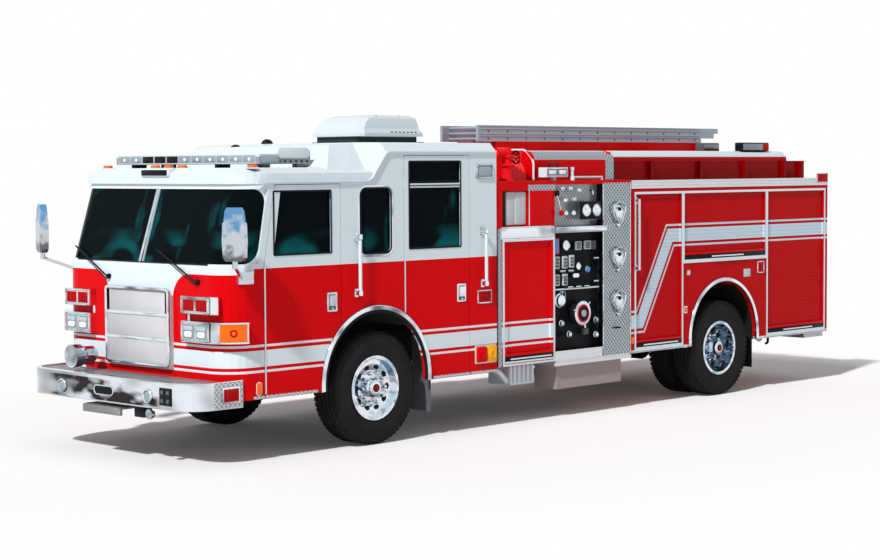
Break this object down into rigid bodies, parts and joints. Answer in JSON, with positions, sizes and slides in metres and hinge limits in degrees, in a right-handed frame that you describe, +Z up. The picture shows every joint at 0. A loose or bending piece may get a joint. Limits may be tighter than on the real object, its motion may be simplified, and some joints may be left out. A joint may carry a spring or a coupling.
{
  "type": "fire engine",
  "caption": "Pumper fire engine with a four-door raised-roof cab, side pump panels, roll-up shutter compartments, hose bed and stacked ladders; wheels roll, steer, doors open.",
  "frame": {"origin": "centre of the overall box in plan, on the ground", "axes": "-X is the front of the vehicle, -Y its left side, +Z up"},
  "size_m": [9.72, 3.1078, 3.1119],
  "materials": {
    "red_paint": "gloss",
    "white_paint": "gloss",
    "chrome": "polished",
    "tread_plate": "bright tread plate",
    "aluminium": "satin",
    "black_steel": "satin black",
    "rubber": "matte",
    "glass": "tinted",
    "red_lamp": "clear gloss",
    "clear_lamp": "clear gloss",
    "grey_plastic": "grained",
    "seat_fabric": "woven"
  },
  "bodies": {
    "chassis": {"frame": "black_steel", "front_axle": "black_steel", "rear_axle": "black_steel", "engine": "black_steel", "bumper": "chrome", "bumper_deck": "tread_plate", "siren": "chrome", "grille": "chrome", "front_lamps_left": "clear_lamp", "front_lamps_right": "clear_lamp", "cab_shell": "white_paint", "cab_floor": "grey_plastic", "dashboard": "grey_plastic", "driver_seat": "seat_fabric", "officer_seat": "seat_fabric", "crew_seats": "seat_fabric", "windshield_left": "glass", "windshield_right": "glass", "side_glass_left": "glass", "side_glass_right": "glass", "mirror_left": "chrome", "mirror_right": "chrome", "light_bar": "clear_lamp", "air_conditioner": "white_paint", "pump_house": "red_paint", "pump_panel_left": "black_steel", "pump_panel_right": "black_steel", "running_boards": "tread_plate", "body_shell": "red_paint", "side_shutters_left": "red_paint", "side_shutters_right": "red_paint", "rear_panel": "aluminium", "rear_step": "tread_plate", "hosebed_cover": "white_paint", "ladder_cradle": "red_paint", "ladders": "aluminium", "deck_pipe": "red_paint", "floodlight": "white_paint"},
    "front_door_left": {"front_door_left": "red_paint", "front_door_glass_left": "glass"},
    "rear_door_left": {"rear_door_left": "red_paint", "rear_door_glass_left": "glass"},
    "knuckle_left": {"knuckle_left": "black_steel"},
    "wheel_front_left": {"wheel_front_left": "chrome", "tyre_front_left": "rubber"},
    "wheel_rear_left": {"wheel_rear_left": "chrome", "tyre_rear_outer_left": "rubber", "tyre_rear_inner_left": "rubber"},
    "front_door_right": {"front_door_right": "red_paint", "front_door_glass_right": "glass"},
    "rear_door_right": {"rear_door_right": "red_paint", "rear_door_glass_right": "glass"},
    "knuckle_right": {"knuckle_right": "black_steel"},
    "wheel_front_right": {"wheel_front_right": "chrome", "tyre_front_right": "rubber"},
    "wheel_rear_right": {"wheel_rear_right": "chrome", "tyre_rear_outer_right": "rubber", "tyre_rear_inner_right": "rubber"},
    "hose_reel": {"hose_reel": "red_paint"}
  },
  "joints": [
    {"name": "front_door_left_hinge", "type": "hinge", "parent": "chassis", "child": "front_door_left", "pos_m": [-4.026, -1.244, 1.7255], "axis": [0, 0, -1], "range_deg": [0, 75]},
    {"name": "rear_door_left_hinge", "type": "hinge", "parent": "chassis", "child": "rear_door_left", "pos_m": [-2.293, -1.244, 1.7255], "axis": [0, 0, -1], "range_deg": [0, 75]},
    {"name": "steering_left", "type": "hinge", "parent": "chassis", "child": "knuckle_left", "pos_m": [-2.64, -0.8, 0.535], "axis": [0, 0, 1], "range_deg": [-40, 40]},
    {"name": "front_wheel_left_spin", "type": "hinge", "parent": "knuckle_left", "child": "wheel_front_left", "pos_m": [-2.64, -1.054, 0.535], "axis": [0, 1, 0], "continuous": true},
    {"name": "rear_wheel_left_spin", "type": "hinge", "parent": "chassis", "child": "wheel_rear_left", "pos_m": [2.717, -1.09, 0.535], "axis": [0, 1, 0], "continuous": true},
    {"name": "front_door_right_hinge", "type": "hinge", "parent": "chassis", "child": "front_door_right", "pos_m": [-4.026, 1.244, 1.7255], "axis": [0, 0, 1], "range_deg": [0, 75]},
    {"name": "rear_door_right_hinge", "type": "hinge", "parent": "chassis", "child": "rear_door_right", "pos_m": [-2.293, 1.244, 1.7255], "axis": [0, 0, 1], "range_deg": [0, 75]},
    {"name": "steering_right", "type": "hinge", "parent": "chassis", "child": "knuckle_right", "pos_m": [-2.64, 0.8, 0.535], "axis": [0, 0, 1], "range_deg": [-40, 40]},
    {"name": "front_wheel_right_spin", "type": "hinge", "parent": "knuckle_right", "child": "wheel_front_right", "pos_m": [-2.64, 1.054, 0.535], "axis": [0, 1, 0], "continuous": true},
    {"name": "rear_wheel_right_spin", "type": "hinge", "parent": "chassis", "child": "wheel_rear_right", "pos_m": [2.717, 1.09, 0.535], "axis": [0, 1, 0], "continuous": true},
    {"name": "hose_reel_spin", "type": "hinge", "parent": "chassis", "child": "hose_reel", "pos_m": [-0.36, -0.69, 2.47], "axis": [1, 0, 0], "continuous": true}
  ],
  "couplings": [
    {"joint": "steering_right", "follows": "steering_left", "ratio": 1}
  ]
}
